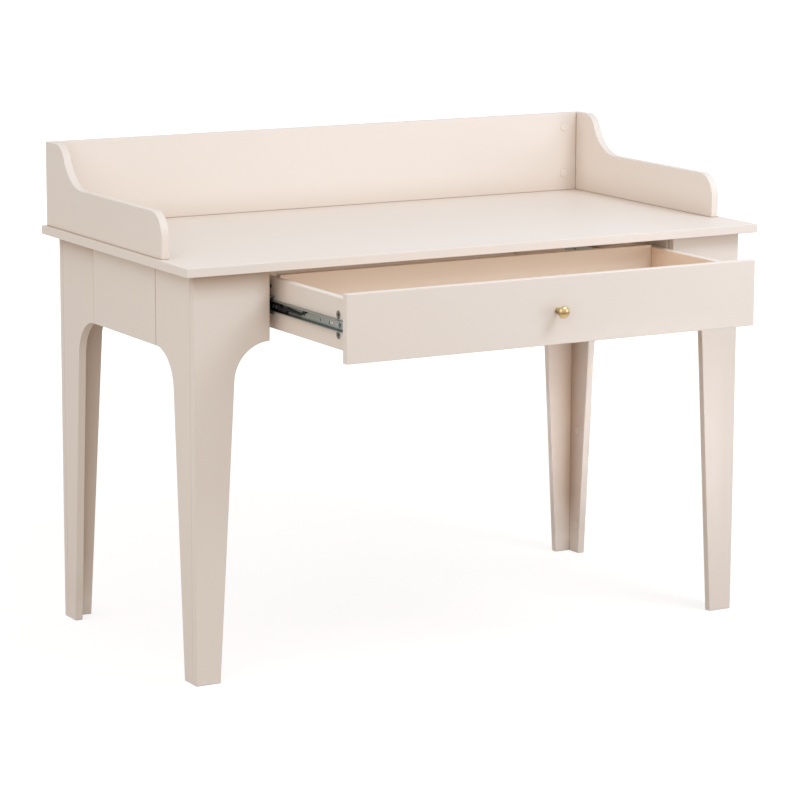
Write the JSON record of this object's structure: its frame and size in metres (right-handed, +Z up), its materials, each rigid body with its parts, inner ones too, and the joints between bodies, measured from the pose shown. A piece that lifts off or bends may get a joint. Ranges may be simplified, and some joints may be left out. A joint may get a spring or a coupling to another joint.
{
  "type": "writing desk",
  "caption": "Cream painted writing desk with tapered L-section legs, a low gallery with swept ends round the top, and a wide drawer with a brass knob on ball-bearing slides.",
  "frame": {"origin": "on the floor, at the middle of the desk's box with the drawer open as stored", "axes": "+X to the sitter's right, +Y away from the sitter, +Z up"},
  "size_m": [1.2, 0.894, 0.911],
  "materials": {
    "cream_paint": "warm cream satin paint on board",
    "zinc_plate": "bright zinc plate",
    "cast_zinc": "die-cast zinc, dull",
    "ball_steel": "polished bearing steel",
    "black_plastic": "matt black moulded plastic",
    "satin_brass": "satin brass, lacquered",
    "beech": "bare beech",
    "cream_plastic": "moulded plastic in the colour of the paint"
  },
  "bodies": {
    "desk": {"angle_brackets": "zinc_plate", "apron_cam_bolts": "zinc_plate", "apron_cams": "cast_zinc", "apron_dowels": "beech", "bracket_screws": "zinc_plate", "cabinet_slide_screws": "zinc_plate", "front_leaf_left": "cream_paint", "front_leaf_right": "cream_paint", "gallery_back": "cream_paint", "gallery_cam_bolts": "zinc_plate", "gallery_cam_caps": "cream_plastic", "gallery_cams": "cast_zinc", "gallery_screws": "zinc_plate", "gallery_side_left": "cream_paint", "gallery_side_right": "cream_paint", "leg_cam_bolts": "zinc_plate", "leg_cam_caps": "cream_plastic", "leg_cams": "cast_zinc", "rear_apron": "cream_paint", "rear_leaf_left": "cream_paint", "rear_leaf_right": "cream_paint", "runner_panel_left": "cream_paint", "runner_panel_right": "cream_paint", "side_apron_left": "cream_paint", "side_apron_right": "cream_paint", "side_leaf_front_left": "cream_paint", "side_leaf_front_right": "cream_paint", "side_leaf_rear_left": "cream_paint", "side_leaf_rear_right": "cream_paint", "slide_cabinet_member_left": "zinc_plate", "slide_cabinet_member_right": "zinc_plate", "top_panel": "cream_paint"},
    "drawer": {"drawer_back": "cream_paint", "drawer_back_screws": "zinc_plate", "drawer_bottom": "cream_paint", "drawer_cam_bolts": "zinc_plate", "drawer_cams": "cast_zinc", "drawer_front": "cream_paint", "drawer_side_left": "cream_paint", "drawer_side_right": "cream_paint", "drawer_slide_screws": "zinc_plate", "knob": "satin_brass", "knob_screw": "zinc_plate", "lever_rivets": "zinc_plate", "slide_drawer_member_left": "zinc_plate", "slide_drawer_member_right": "zinc_plate"},
    "ball_cage_left": {"ball_cage_left": "zinc_plate", "slide_balls_left": "ball_steel"},
    "ball_cage_right": {"ball_cage_right": "zinc_plate", "slide_balls_right": "ball_steel"},
    "release_lever_left": {"release_lever_left": "black_plastic"},
    "release_lever_right": {"release_lever_right": "black_plastic"}
  },
  "joints": [
    {"name": "drawer_slide", "type": "slide", "parent": "desk", "child": "drawer", "axis": [0, -1, 0], "range_m": [-0.271, 0]},
    {"name": "ball_cage_left_slide", "type": "slide", "parent": "desk", "child": "ball_cage_left", "axis": [0, -1, 0], "range_m": [-0.136, 0]},
    {"name": "ball_cage_right_slide", "type": "slide", "parent": "desk", "child": "ball_cage_right", "axis": [0, -1, 0], "range_m": [-0.136, 0]},
    {"name": "release_lever_left_hinge", "type": "hinge", "parent": "drawer", "child": "release_lever_left", "pos_m": [-0.4111, -0.152, 0.6695], "axis": [1, 0, 0], "range_deg": [0, 3.5], "stiffness_Nm_per_rad": 2, "springref_deg": -1.15},
    {"name": "release_lever_right_hinge", "type": "hinge", "parent": "drawer", "child": "release_lever_right", "pos_m": [0.4111, -0.152, 0.6695], "axis": [1, 0, 0], "range_deg": [-3.5, 0], "stiffness_Nm_per_rad": 2, "springref_deg": 1.15}
  ],
  "couplings": [
    {"joint": "ball_cage_left_slide", "follows": "drawer_slide", "ratio": 0.5},
    {"joint": "ball_cage_right_slide", "follows": "drawer_slide", "ratio": 0.5}
  ]
}
